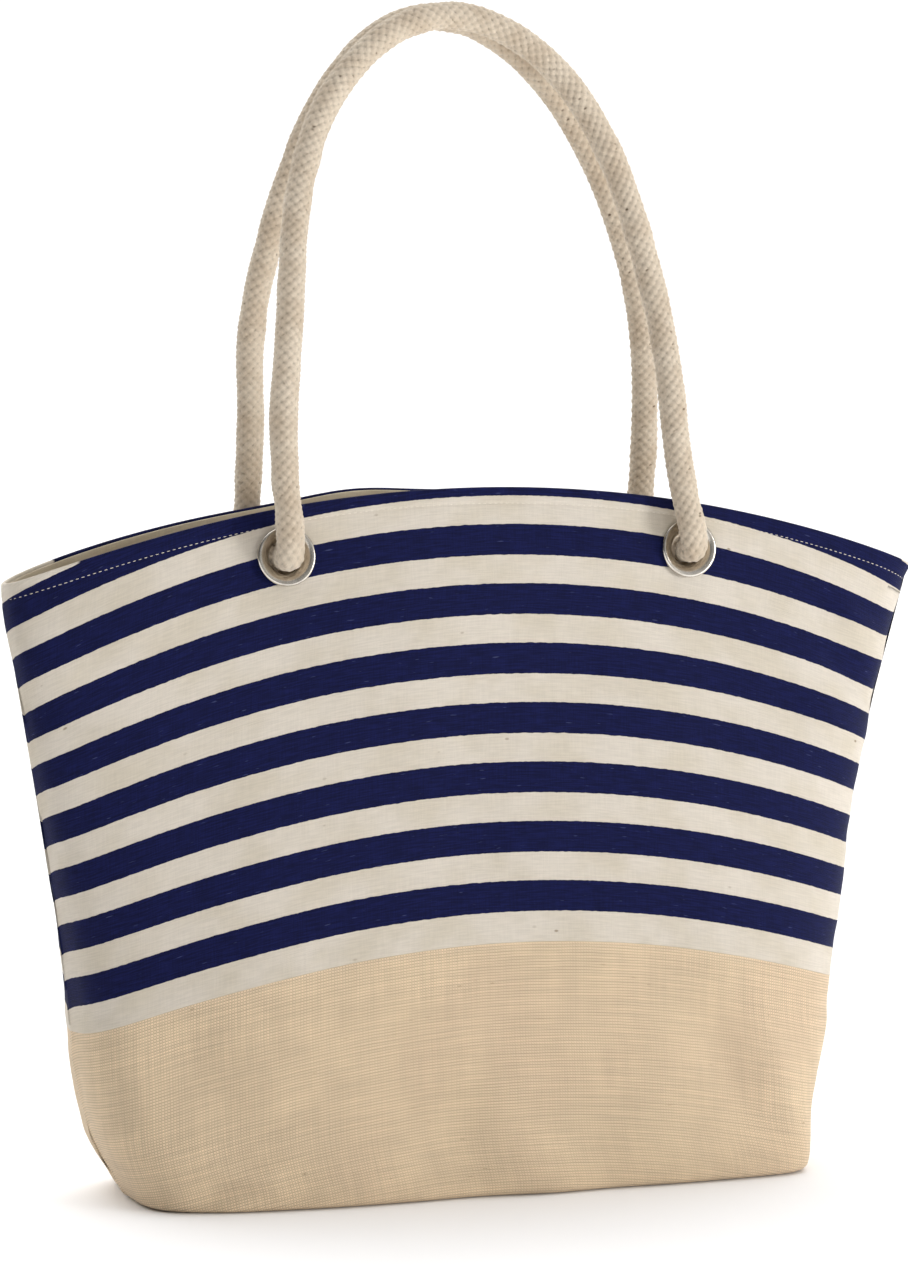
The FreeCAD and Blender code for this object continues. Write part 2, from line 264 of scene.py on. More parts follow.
def jute_material():
    nodes = Nodes("jute")
    u, v = nodes.uv(CLOTH_UV)
    flat = nodes.vector(u, v)
    pitch = 0.00145
    bend = nodes.times(nodes.math("SUBTRACT", nodes.noise(flat, 45.0, 2.0), 0.5), 0.0008)
    u_yarn = nodes.math("ADD", u, bend)
    v_yarn = nodes.math("ADD", v, bend)
    surface = weave(nodes, u_yarn, v_yarn, pitch, pitch)

    weft = nodes.noise(nodes.vector(nodes.times(u, 0.035), v_yarn), 650.0, 2.0)
    warp = nodes.noise(nodes.vector(u_yarn, nodes.times(v, 0.035)), 650.0, 2.0)
    patch = nodes.noise(flat, 30.0, 4.0, 0.6)
    cloud = nodes.noise(flat, 9.0, 2.0)

    colour = nodes.mix(nodes.ramp(patch, 0.35, 0.68), srgb(221, 198, 166), srgb(212, 190, 160))
    colour = nodes.mix(nodes.ramp(cloud, 0.45, 0.7, 0.0, 0.5), colour, srgb(211, 186, 158))
    colour = nodes.scale_colour(colour, nodes.ramp(weft, 0.28, 0.72, 0.92, 1.06))
    colour = nodes.scale_colour(colour, nodes.ramp(warp, 0.28, 0.72, 0.95, 1.04))
    # Painted shade in the gaps between the yarns and painted light on their crowns: the colour follows the
    # weave's height.
    colour = nodes.scale_colour(colour, nodes.ramp(surface, 0.1, 0.9, 0.66, 1.10))
    # Painted shade along the grooves between the weft yarns.
    weft_gap_shade = nodes.math("ABSOLUTE", nodes.math("SINE", nodes.times(v_yarn, math.pi / pitch)))
    colour = nodes.scale_colour(colour, nodes.ramp(weft_gap_shade, 0.0, 0.6, 0.80, 1.03))
    wide = nodes.vector(nodes.times(u, 0.35), v)
    fleck, _ = nodes.flecks(wide, 330.0, (0.06, 0.2), (0.93, 0.95), 0.4)
    colour = nodes.mix(fleck, colour, srgb(120, 92, 62))

    slub = nodes.math("ADD", nodes.times(weft, 0.5), nodes.times(warp, 0.5))
    return nodes.fabric(colour, nodes.bump(nodes.math("ADD", surface, slub), 0.00022), 0.9, 0.2, 0.15, 0.5)


def lining_material():
    nodes = Nodes("cotton_lining")
    u, v = nodes.uv(CLOTH_UV)
    flat = nodes.vector(u, v)
    weft = nodes.noise(nodes.vector(nodes.times(u, 0.06), v), 1100.0, 2.0)
    warp = nodes.noise(nodes.vector(u, nodes.times(v, 0.06)), 1100.0, 2.0)
    blotch = nodes.ramp(nodes.noise(flat, 25.0, 3.0), 0.35, 0.7)
    colour = nodes.mix(blotch, srgb(214, 203, 182), srgb(202, 188, 164))
    colour = nodes.scale_colour(colour, nodes.ramp(weft, 0.3, 0.7, 0.93, 1.03))
    colour = nodes.scale_colour(colour, nodes.ramp(warp, 0.3, 0.7, 0.96, 1.02))
    height = nodes.math("ADD", weave(nodes, u, v, 0.0007, 0.0007), weft)
    return nodes.fabric(colour, nodes.bump(height, 0.00010), 0.92, 0.2, 0.15, 0.5)


def rope_material():
    nodes = Nodes("cotton_rope")
    around, along = nodes.uv(ROPE_UV)
    cavity, fibre_side = nodes.uv(ROPE_CAVITY_UV)
    flat = nodes.vector(around, along)
    twist = nodes.math("ADD", along, nodes.times(around, fibre_side))
    fibres = nodes.noise(nodes.vector(nodes.times(around, 0.25), twist), 2300.0, 2.0)
    blotch = nodes.noise(flat, 60.0, 3.0)
    colour = nodes.mix(nodes.ramp(blotch, 0.3, 0.72), srgb(210, 196, 176), srgb(194, 177, 155))
    colour = nodes.scale_colour(colour, nodes.ramp(fibres, 0.28, 0.72, 0.88, 1.07))
    # Painted shade in the hollows between the braid's strands: darker where the braid is low.
    colour = nodes.scale_colour(colour, nodes.ramp(cavity, 0.05, 0.7, 0.58, 1.03))
    # Dark flecks, faded out on the strand crowns so that they sit in the hollows: painted shade in the pits
    # where the strands cross.
    dashes = nodes.vector(nodes.times(around, 0.55), along)
    fleck, _ = nodes.flecks(dashes, 250.0, (0.06, 0.22), (0.48, 0.56), 0.95)
    fleck = nodes.times(fleck, nodes.ramp(cavity, 0.45, 0.85, 1.0, 0.12))
    colour = nodes.mix(fleck, colour, srgb(104, 84, 64))
    return nodes.fabric(colour, nodes.bump(fibres, 0.00016), 0.85, 0.25, 0.25, 0.45)


def thread_material():
    nodes = Nodes("sewing_thread")
    place = nodes.add("ShaderNodeTexCoord").outputs["Object"]
    shade = nodes.ramp(nodes.noise(place, 2500.0, 2.0), 0.3, 0.7)
    cotton = nodes.mix(shade, srgb(228, 220, 206), srgb(210, 200, 184))
    share, _ = nodes.uv(STITCH_UV)
    # Painted shade at both ends of each stitch, where the thread sinks into its needle hole.
    needle_hole_shade = nodes.ramp(nodes.math("ABSOLUTE", nodes.math("SUBTRACT", share, 0.5)), 0.34, 0.5)
    nodes.set("Base Color", nodes.mix(needle_hole_shade, cotton, srgb(110, 98, 84)))
    nodes.set("Normal", nodes.bump(nodes.noise(place, 6000.0, 1.0), 0.00005))
    nodes.set("Roughness", 0.7)
    nodes.set("Sheen Weight", 0.2)
    return nodes.material


def metal_material():
    nodes = Nodes("nickel")
    place = nodes.add("ShaderNodeTexCoord").outputs["Object"]
    smudge = nodes.noise(place, 180.0, 4.0, 0.6)
    shade = nodes.ramp(smudge, 0.3, 0.7)
    nodes.set("Base Color", nodes.mix(shade, srgb(214, 208, 198), srgb(190, 183, 172)))
    nodes.set("Roughness", nodes.ramp(smudge, 0.3, 0.75, 0.14, 0.28))
    nodes.set("Normal", nodes.bump(nodes.noise(place, 900.0, 2.0), 0.00002))
    nodes.set("Metallic", 1.0)
    return nodes.material


def floor_material():
    nodes = Nodes("floor")
    place = nodes.add("ShaderNodeTexCoord").outputs["Object"]
    grain = nodes.ramp(nodes.noise(place, 3.0, 2.0), 0.3, 0.7)
    nodes.set("Base Color", nodes.mix(grain, (0.955, 0.955, 0.96, 1), (0.945, 0.945, 0.95, 1)))
    nodes.set("Roughness", 0.9)
    nodes.set("Specular IOR Level", 0.1)
    return nodes.material


def make_world():
    """White behind the bag, bright above it, dimmer in front, and dimmest in front of its left end."""
    world = bpy.data.worlds.new("studio")
    world.use_nodes = True
    tree = world.node_tree
    background = tree.nodes["Background"]
    background.inputs["Color"].default_value = (1.0, 1.0, 1.0, 1.0)
    direction = tree.nodes.new("ShaderNodeTexCoord").outputs["Generated"]

    def ramp(axis, low, high, out_low, out_high):
        """A number that grows as the direction turns towards an axis."""
        toward = tree.nodes.new("ShaderNodeVectorMath")
        toward.operation = "DOT_PRODUCT"
        tree.links.new(direction, toward.inputs[0])
        toward.inputs[1].default_value = axis
        node = tree.nodes.new("ShaderNodeMapRange")
        node.interpolation_type = "SMOOTHSTEP"
        tree.links.new(toward.outputs["Value"], node.inputs[0])
        for place, number in enumerate((low, high, out_low, out_high), start=1):
            node.inputs[place].default_value = number
        return node.outputs[0]

    def mix(factor, strength, number):
        node = tree.nodes.new("ShaderNodeMix")
        tree.links.new(factor, node.inputs[0])
        tree.links.new(strength, node.inputs[2])
        node.inputs[3].default_value = number
        return node.outputs[0]

    strength = ramp((1.0, 0.0, 0.0), -0.8, 0.8, FRONT_LEFT_LIGHT, FRONT_RIGHT_LIGHT)
    strength = mix(ramp(OVERHEAD_AXIS, 0.42, 0.86, 0.0, 1.0), strength, OVERHEAD_LIGHT)
    strength = mix(ramp(WHITE_AXIS, 0.88, 0.96, 0.0, 1.0), strength, WHITE_LIGHT)
    tree.links.new(strength, background.inputs["Strength"])
    bpy.context.scene.world = world


# ---- mesh helpers


def make_object(name, points, faces, material):
    mesh = bpy.data.meshes.new(name)
    mesh.from_pydata([tuple(point) for point in points], [], faces)
    mesh.update()
    mesh.materials.append(material)
    mesh.polygons.foreach_set("use_smooth", [True] * len(mesh.polygons))
    item = bpy.data.objects.new(name, mesh)
    bpy.context.collection.objects.link(item)
    return item


def set_uv(item, layer_name, values):
    """Gives each corner the value of its vertex."""
    mesh = item.data
    layer = mesh.uv_layers.new(name=layer_name)
    corner_vertex = np.empty(len(mesh.loops), dtype=np.int32)
    mesh.loops.foreach_get("vertex_index", corner_vertex)
    layer.data.foreach_set("uv", np.asarray(values, dtype=np.float32)[corner_vertex].ravel())


def face_outward(item):
    """Turns the faces of a closed mesh so that they look outward."""
    mesh = bmesh.new()
    mesh.from_mesh(item.data)
    bmesh.ops.recalc_face_normals(mesh, faces=mesh.faces)
    mesh.to_mesh(item.data)
    mesh.free()


def grid_faces(rows, columns, close_rows=False, close_columns=False):
    """Quads over a grid of points, stored row by row."""
    faces = []
    for row in range(rows if close_rows else rows - 1):
        above = (row + 1) % rows
        for column in range(columns if close_columns else columns - 1):
            beside = (column + 1) % columns
            faces.append((
                row * columns + column,
                row * columns + beside,
                above * columns + beside,
                above * columns + column,
            ))
    return faces


def fan_faces(rows, around, start_cap, end_cap):
    """Triangles that close the first and the last ring of a grid, each to its own middle point."""
    last = (rows - 1) * around
    faces = []
    for step in range(around):
        beside = (step + 1) % around
        faces.append((step, start_cap, beside))
        faces.append((last + step, last + beside, end_cap))
    return faces


NOISE_TABLE = 64


def lattice_noise(x, y, scale, seed):
    """Smooth noise from -1 to 1 over a plane; scale is the size of its lumps."""
    table = np.random.default_rng(seed).uniform(-1, 1, (NOISE_TABLE, NOISE_TABLE))
    x = np.asarray(x) / scale + 17.3
    y = np.asarray(y) / scale + 31.7
    left, low = np.floor(x).astype(int), np.floor(y).astype(int)
    part_x, part_y = x - left, y - low
    part_x = part_x * part_x * (3 - 2 * part_x)
    part_y = part_y * part_y * (3 - 2 * part_y)

    def corner(step_x, step_y):
        return table[(left + step_x) % NOISE_TABLE, (low + step_y) % NOISE_TABLE]

    bottom = corner(0, 0) * (1 - part_x) + corner(1, 0) * part_x
    top = corner(0, 1) * (1 - part_x) + corner(1, 1) * part_x
    return bottom * (1 - part_y) + top * part_y


def hill(place, middle, width):
    """1 at the middle, falling smoothly to 0 over about twice the width."""
    return np.exp(-(((place - middle) / width) ** 2))


# ---- shape of the bag

canvas_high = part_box("front_canvas_panel")[1]
MOUTH_HALF_WIDTH = canvas_high[0]
MOUTH_PEAK = canvas_high[2]
MOUTH_END = 0.3155
MOUTH_HALF_DEPTH = 0.028
MOUTH_SQUARENESS = 2.8
BELLY_HALF_WIDTH = 0.196
EVEN_FLARE = 0.4  # share of the flare that grows evenly with height; the rest grows with its square
BASE_HALF_DEPTH = 0.067
DEPTH_POWER = 1.3
BASE_SQUARENESS = 4.6
BASE_SQUARENESS_RIGHT = 9.0
SQUARENESS_HEIGHT = 0.100
TUCK_WIDTH = 0.014
TUCK_WIDTH_RIGHT = 0.022
TUCK_WIDTH_HEIGHT = 0.075
TUCK_WIDTH_POWER = 1.3
TUCK_DEPTH = 0.004
TUCK_DEPTH_HEIGHT = 0.034
TUCK_DEPTH_POWER = 2.2
JUTE_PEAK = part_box("front_jute_panel")[1][2]
JUTE_SEAM_RADIUS = 0.580
STRIPE_MOUTH_RADIUS = 0.530
STRIPE_MOUTH_HEIGHT = 0.3
ARCH_MIDDLE = 0.0035
MOUTH_RADIUS = (MOUTH_HALF_WIDTH**2 + (MOUTH_PEAK - MOUTH_END) ** 2) / (2 * (MOUTH_PEAK - MOUTH_END))
EYELET_ACROSS = 0.109
_, HINGE_DEPTH, EYELET_HEIGHT = frame["joints"][0]["pos_m"]
HANDLE_PIVOT_DEPTH = abs(HINGE_DEPTH)
SWAY_SPREAD = 0.010
SWAY_FADE = 0.004

# The filled bag leans to one side a little: height, and how far its cloth moves across.
SWAY = [
    (0.0, -0.002), (0.030, -0.012), (0.120, -0.008), (0.200, -0.008), (0.290, -0.004), (MOUTH_END, 0.0),
]


def half_width(height, across=-1.0):
    rise = height / MOUTH_END
    tuck = np.maximum(0.0, 1.0 - height / TUCK_WIDTH_HEIGHT) ** TUCK_WIDTH_POWER
    tuck_width = np.where(np.asarray(across) > 0, TUCK_WIDTH_RIGHT, TUCK_WIDTH)
    flare = MOUTH_HALF_WIDTH - BELLY_HALF_WIDTH
    widening = EVEN_FLARE * rise + (1 - EVEN_FLARE) * rise**2
    return BELLY_HALF_WIDTH + flare * widening - tuck_width * tuck


def half_depth(height):
    rise = np.clip(height / MOUTH_PEAK, 0.0, 1.1)
    tuck = np.maximum(0.0, 1.0 - height / TUCK_DEPTH_HEIGHT) ** TUCK_DEPTH_POWER
    deeper = (BASE_HALF_DEPTH - MOUTH_HALF_DEPTH) * (1.0 - rise**DEPTH_POWER)
    return MOUTH_HALF_DEPTH + deeper - TUCK_DEPTH * tuck


def squareness(height, across=-1.0):
    """Exponent of the outline. The right corners of the foot are pushed out more squarely."""
    share = np.maximum(0.0, 1.0 - height / SQUARENESS_HEIGHT) ** 2
    base = np.where(np.asarray(across) > 0, BASE_SQUARENESS_RIGHT, BASE_SQUARENESS)
    return MOUTH_SQUARENESS + (base - MOUTH_SQUARENESS) * share


def sway(height):
    """The lean of the filled bag, as a smooth line through its points."""
    places, shifts = zip(*SWAY)
    steps = (-2, -1, 0, 1, 2)
    total = sum(np.interp(height + step * SWAY_SPREAD / 2, places, shifts) for step in steps)
    below_mouth = np.where(np.asarray(height) < MOUTH_END, total / len(steps), 0.0)
    return below_mouth * np.clip((MOUTH_END - height) / SWAY_FADE, 0, 1)


def outline(height, angle, inset):
    """Point of the outline: distance across, and distance from the middle plane."""
    across, along = np.cos(angle), np.abs(np.sin(angle))
    power = squareness(height, across)
    reach = (np.abs(across) ** power + along**power) ** (-1.0 / power)
    return (half_width(height, across) - inset) * reach * across, (half_depth(height) - inset) * reach * along


def wall_depth(across, height):
    power = squareness(height)
    share = np.clip(1.0 - np.abs(across / half_width(height)) ** power, 0.0, 1.0)
    return half_depth(height) * share ** (1.0 / power)


def arch_height(across, radius, peak):
    """Height of an arched edge over a distance across."""
    return peak - radius + np.sqrt(radius**2 - np.asarray(across) ** 2)


def seam_edge(across, height):
    """Height of the jute seam on the leaning bag."""
    return arch_height(across + sway(height) - ARCH_MIDDLE, JUTE_SEAM_RADIUS, JUTE_PEAK)


def mouth_edge(side):
    """The arched edge of one side: the front's stands a little higher, the back's dips and has two rises."""

    def edge(across, _):
        arch = arch_height(across, MOUTH_RADIUS, MOUTH_PEAK)
        middle = hill(across, 0.0, 0.16)
        if side == FRONT:
            return arch + 0.0014 * middle
        rises = 0.0032 * hill(across, -0.056, 0.032) + 0.0026 * hill(across, 0.238, 0.014)
        return arch - 0.0022 * middle + rises

    return edge


def pattern_height(across, height):
    """Height above the jute seam at which a point's stripe crosses the middle of the bag."""
    level = height
    for _ in range(4):
        share = np.clip((level - JUTE_PEAK) / (STRIPE_MOUTH_HEIGHT - JUTE_PEAK), 0, 1)
        radius = JUTE_SEAM_RADIUS + (STRIPE_MOUTH_RADIUS - JUTE_SEAM_RADIUS) * share
        level = height + radius - np.sqrt(radius**2 - (across - ARCH_MIDDLE) ** 2)
    return level - JUTE_PEAK


class EvenOutline:
    """Angles that space points evenly along the outline, from the left seam to the right seam."""

    def __init__(self, fractions):
        self.heights = np.linspace(0.0, 0.372, 60)
        dense = np.linspace(math.pi, 0.0, 1441)
        self.angles = []
        self.lengths = []
        for height in self.heights:
            across, depth = outline(height, dense, 0.0)
            steps = np.hypot(np.diff(across), np.diff(depth))
            travelled = np.concatenate([[0.0], np.cumsum(steps)])
            self.angles.append(np.interp(fractions * travelled[-1], travelled, dense))
            self.lengths.append(travelled[-1])
        self.angles = np.array(self.angles)

    def angle(self, height):
        """Angle of each column at its own height."""
        place = np.clip(height / self.heights[1], 0, len(self.heights) - 1.001)
        low = place.astype(int)
        part = place - low
        columns = np.arange(self.angles.shape[1])
        return self.angles[low, columns] * (1 - part) + self.angles[low + 1, columns] * part

    def length(self, height):
        return np.interp(height, self.heights, self.lengths)


# ---- relief of the cloth

HEM_WIDTH = 0.0082
CRUMPLED_BELOW = 0.15


def crease(across, height, start, end, width, rise):
    """A soft ridge (or valley) along a line on the cloth."""
    start, end = np.array(start), np.array(end)
    line = end - start
    reach = np.clip(((across - start[0]) * line[0] + (height - start[1]) * line[1]) / (line @ line), 0, 1)
    distance = np.hypot(across - start[0] - reach * line[0], height - start[1] - reach * line[1])
    taper = np.sin(np.pi * np.clip(reach * 0.9 + 0.05, 0, 1)) ** 0.8
    return rise * taper * hill(distance, 0.0, width)


# Guessed from the folds of the cloth: each start and end (across, up), width and rise, seen from the front.
CREASES = [
    ((0.236, 0.262), (0.196, 0.300), 0.008, 0.0030),
    ((0.232, 0.243), (0.190, 0.272), 0.007, -0.0030),
    ((0.222, 0.222), (0.175, 0.245), 0.009, 0.0020),
    ((-0.240, 0.290), (-0.205, 0.262), 0.010, 0.0020),
    ((-0.236, 0.262), (-0.200, 0.240), 0.010, -0.0018),
    ((-0.196, 0.110), (-0.168, 0.020), 0.014, 0.0026),
    ((-0.165, 0.100), (-0.130, 0.040), 0.014, -0.0018),
    ((0.150, 0.095), (0.172, 0.012), 0.012, 0.0026),
    ((0.120, 0.090), (0.142, 0.030), 0.012, -0.0020),
    ((0.010, 0.100), (-0.030, 0.012), 0.016, -0.0016),
    ((-0.165, 0.003), (-0.118, 0.026), 0.007, -0.0030),
    ((-0.150, 0.020), (-0.112, 0.014), 0.006, 0.0022),
]


def relief(across, height, side):
    """How far the cloth stands out of the plain shape of the bag."""
    seed = 3 if side == FRONT else 9
    rise = lattice_noise(across, height, 0.085, seed) * 0.0022
    crumpled = np.clip((CRUMPLED_BELOW - height) / 0.05, 0, 1)
    rise = rise + lattice_noise(across + height * 0.4, height * 0.45, 0.038, seed + 2) * 0.0020 * crumpled
    rise = rise + lattice_noise(across, height * 0.6, 0.035, seed + 1) * 0.00055
    flip = 1 if side == FRONT else -1
    for start, end, width, amount in CREASES:
        rise = rise + crease(across * flip, height, start, end, width, amount)
    for end in (-1, 1):
        away = np.hypot(across - end * EYELET_ACROSS, height - EYELET_HEIGHT)
        rise = rise - 0.0007 * hill(away, 0.0, 0.020)
    return rise


def seam_pucker(across, height, side):
    """Small gathers beside the side seams."""
    away = half_width(height) - np.abs(across)
    wave = lattice_noise(height, np.sign(across) * 0.5 + side, 0.011, 21)
    return 0.0006 * wave * np.exp(-away / 0.010)


# ---- cloth panels

HOLE_RADIUS = 0.0093
HOLE_LENGTH = 0.020
LIP_REACH = 0.012


def eyelet_axis(side, end):
    """Centre of an eyelet on the cloth, the way it faces, and two directions across it."""
    step = 5e-4
    across = end * EYELET_ACROSS
    up = EYELET_HEIGHT
    slope_across = (wall_depth(across + step, up) - wall_depth(across - step, up)) / (2 * step)
    slope_up = (wall_depth(across, up + step) - wall_depth(across, up - step)) / (2 * step)
    outward = Vector((-slope_across, side, -slope_up)).normalized()
    first = Vector((0, 0, 1)).cross(outward).normalized()
    return Vector((across, side * wall_depth(across, up), up)), outward, first, outward.cross(first)


def lathe_points(side, end, section, around, wave=0.0):
    """A section turned about an eyelet's axis; the lip, its widest part, is out of round by the wave."""
    centre, outward, first, second = eyelet_axis(side, end)
    points = []
    for reach, lift in section:
        for turn in np.linspace(0, 2 * math.pi, around, endpoint=False):
            uneven = wave * math.sin(3 * turn + end) if reach > LIP_REACH else 0.0
            radial = first * math.cos(turn) + second * math.sin(turn)
            points.append(centre + radial * (reach + uneven) + outward * lift)
    return points


def pierce(item, side):
    """Cuts the eyelet holes through a cloth."""
    for end in (-1, 1):
        around = 48
        section = [(HOLE_RADIUS, -HOLE_LENGTH / 2), (HOLE_RADIUS, HOLE_LENGTH / 2)]
        points = lathe_points(side, end, section, around)
        faces = grid_faces(2, around, close_columns=True)
        faces += [tuple(reversed(range(around))), tuple(range(around, 2 * around))]
        punch = make_object("punch", points, faces, item.data.materials[0])
        face_outward(punch)
        cut = item.modifiers.new("hole", "BOOLEAN")
        cut.operation = "DIFFERENCE"
        cut.solver = "EXACT"
        cut.object = punch
        graph = bpy.context.evaluated_depsgraph_get()
        pierced = bpy.data.meshes.new_from_object(
            item.evaluated_get(graph), preserve_all_data_layers=True, depsgraph=graph
        )
        item.modifiers.clear()
        item.data = pierced
        bpy.data.objects.remove(punch)


COLUMNS = 260  # in every row of a panel, from the left seam to the right seam
FRACTIONS = np.linspace(0.0, 1.0, COLUMNS)
even = EvenOutline(FRACTIONS)


def edge_heights(edge, start):
    """Height of each column where it meets an arched edge."""
    height = np.full(COLUMNS, start)
    for _ in range(30):
        across, _ = outline(height, even.angle(height), 0.0)
        height = edge(across, height)
    return height


SEAM_HEIGHT = edge_heights(seam_edge, 0.10)
MOUTH_HEIGHTS = {side: edge_heights(mouth_edge(side), 0.33) for side in (FRONT, BACK)}
RIDGE_RISE = 0.0020
RIDGE_WIDTH = 0.006
SEAM_REACH = 0.030
SEAM_FADE = 0.012
TIP_HEIGHT = 0.308
TIP_DIP = 0.0025
SEWN_DIP = 0.0045
BUCKLE_HEIGHT = 0.272
BUCKLE_DIP = 0.007

# The left side seam sits in front of the middle plane, most of all under the mouth: height, and how far.
SEAM_PLACES = [
    (0.0, 0.002), (0.15, 0.003), (0.20, 0.006), (0.24, 0.010), (0.28, 0.008), (MOUTH_END, 0.0),
]


def seam_place(height):
    return np.interp(height, *zip(*SEAM_PLACES))


def cloth_row(side, height, inset, drop):
    """One row of points on the cloth, with its places on the flat cloth."""
    angle = even.angle(height)
    across, depth = outline(height, angle, inset)
    base_across, base_depth = outline(height, angle, 0.0)
    step = 1e-4
    ahead = outline(height, angle - step, 0.0)
    tangent = np.stack([ahead[0] - base_across, ahead[1] - base_depth])
    tangent /= np.linalg.norm(tangent, axis=0)
    normal_across, normal_depth = -tangent[1], tangent[0]
    fade = np.clip(base_depth / SEAM_FADE, 0, 1)
    out = relief(base_across, height, side) * fade + seam_pucker(base_across, height, side)
    across = across + normal_across * out
    depth = np.maximum(depth + normal_depth * out * fade, 0.0)

    from_seam = np.minimum(FRACTIONS, 1.0 - FRACTIONS) * even.length(height)
    mouth_fade = np.clip((MOUTH_END - height) / SEAM_FADE, 0, 1)
    across = across + np.sign(across) * RIDGE_RISE * np.exp(-from_seam / RIDGE_WIDTH) * mouth_fade
    left = FRACTIONS < 0.5
    depth_shift = np.where(left, -seam_place(height) * np.exp(-from_seam / SEAM_REACH), 0.0)
    below_tip = TIP_DIP * hill(height, TIP_HEIGHT, 0.007) * np.exp(-from_seam / 0.020)
    across = across + sway(height) - np.where(left, 0.0, below_tip)
    points = np.stack([across, side * depth + depth_shift, height - drop], axis=1)
    flat_across = (FRACTIONS - 0.5) * even.length(height) * (1 if side == FRONT else -1)
    sewn_dip = np.where(left, SEWN_DIP * np.exp(-from_seam / 0.008), 0.0)
    if side == FRONT:
        buckle = hill(height, BUCKLE_HEIGHT, 0.022) * np.exp(-from_seam / 0.012)
        sewn_dip = sewn_dip - np.where(left, 0.0, BUCKLE_DIP * buckle)
    flat_up = pattern_height(base_across + sway(height), height) + sewn_dip
    return points, np.stack([flat_across, flat_up], axis=1)


def sheet_from_rows(name, rows, material):
    """A closed sheet: its rows go up the outside, over the edge and down the inside."""
    points = np.concatenate([row[0] for row in rows])
    flats = np.concatenate([row[1] for row in rows])
    count = len(rows)
    faces = grid_faces(count, COLUMNS, close_rows=True)
    for column in (0, COLUMNS - 1):
        low, high = 0, count - 1
        while high - low > 2:
            faces.append((
                low * COLUMNS + column, (low + 1) * COLUMNS + column,
                (high - 1) * COLUMNS + column, high * COLUMNS + column,
            ))
            low, high = low + 1, high - 1
        if high - low == 2:
            faces.append((low * COLUMNS + column, (low + 1) * COLUMNS + column, high * COLUMNS + column))
    item = make_object(name, points, faces, material)
    set_uv(item, CLOTH_UV, flats)
    face_outward(item)
    return item


def hem_inset(below_mouth):
    """The hem is a fold of cloth: a little thicker above its row of stitches, drawn in along them."""
    thick = 0.00045 / (1.0 + np.exp((below_mouth - HEM_WIDTH) / 0.0006))
    groove = 0.00035 * hill(below_mouth, HEM_WIDTH, 0.0009)
    return groove - thick


def canvas_panel(side_name, side, material):
    """The striped upper: folded over at the mouth, and folded under along the jute seam."""
    thickness = 0.0011
    fold = 0.0012
    rows = []
    mouth = MOUTH_HEIGHTS[side]

    def blend_height(share):
        return SEAM_HEIGHT + (mouth - SEAM_HEIGHT) * share

    lower = np.concatenate([[0.0, 0.002, 0.004, 0.008], np.linspace(0.015, 0.93, 92)])
    for share in lower:
        rows.append(cloth_row(side, blend_height(share), 0.0, 0.0))
    start_drop = float(np.mean((mouth - SEAM_HEIGHT) * (1 - lower[-1])))
    for drop in np.linspace(start_drop, fold, 30)[1:]:
        height = mouth - drop
        rows.append(cloth_row(side, height, hem_inset(drop), 0.0))
    for turn in np.linspace(0.0, math.pi, 9)[1:]:
        inset = hem_inset(0.0) + fold * (1 - math.cos(turn))
        rows.append(cloth_row(side, mouth - fold, inset, -fold * math.sin(turn)))
    for drop in (0.0020, 0.0030, 0.0040):
        rows.append(cloth_row(side, mouth - drop, 2 * fold - 0.0004, 0.0))
    for share in np.linspace(0.97, 0.0, 40):
        rows.append(cloth_row(side, blend_height(share), thickness, 0.0))
    item = sheet_from_rows(side_name + "_canvas", rows, material)
    pierce(item, side)
    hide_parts(side_name + "_canvas_panel")
    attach(item, "bag")


def jute_panel(side_name, side, material):
    """The jute foot: tucked behind the canvas at its top, and turned under at the floor."""
    thickness = 0.0013
    bend = 0.004
    under = 0.030
    rows = []
    top_tuck = 0.006

    def row(height, inset):
        return cloth_row(side, height, inset, 0.0)

    for share in np.linspace(0.0, 1.0, 56):
        height = bend + (SEAM_HEIGHT + top_tuck - bend) * share
        behind = 0.0013 * np.clip((share * (SEAM_HEIGHT - bend) - (SEAM_HEIGHT - bend - 0.004)) / 0.004, 0, 1)
        rows.append(row(height, 0.0001 + behind))
    for share in np.linspace(1.0, 0.0, 30):
        height = bend + (SEAM_HEIGHT + top_tuck - bend) * share
        rows.append(row(height, thickness + 0.0006))
    for turn in np.linspace(0.0, math.pi / 2, 6)[1:]:
        height = np.full(COLUMNS, bend - (bend - thickness) * math.sin(turn))
        rows.append(row(height, thickness + 0.0006 + (bend - thickness) * (1 - math.cos(turn))))
    rows.append(row(np.full(COLUMNS, thickness), under))
    rows.append(row(np.full(COLUMNS, 0.0002), under))
    for turn in np.linspace(math.pi / 2, 0.0, 8)[:-1]:
        height = np.full(COLUMNS, bend - (bend - 0.0002) * math.sin(turn))
        rows.append(row(height, 0.0001 + bend * (1 - math.cos(turn))))
    item = sheet_from_rows(side_name + "_jute", rows, material)
    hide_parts(side_name + "_jute_panel")
    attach(item, "bag")


def lining_panel(side_name, side, material):
    """The cotton lining, from the base to just under the folded mouth."""
    near, far = 0.0026, 0.0031
    rows = []
    foot = 0.0028
    top = MOUTH_HEIGHTS[side] - 0.0014
    for share in np.linspace(0.0, 1.0, 70):
        rows.append(cloth_row(side, foot + (top - foot) * share, near, 0.0))
    rows.append(cloth_row(side, top, (near + far) / 2, -0.0003))
    for share in np.linspace(1.0, 0.0, 70):
        rows.append(cloth_row(side, foot + (top - foot) * share, far, 0.0))
    item = sheet_from_rows(side_name + "_lining_cloth", rows, material)
    pierce(item, side)
    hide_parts(side_name + "_lining")
    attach(item, "bag")


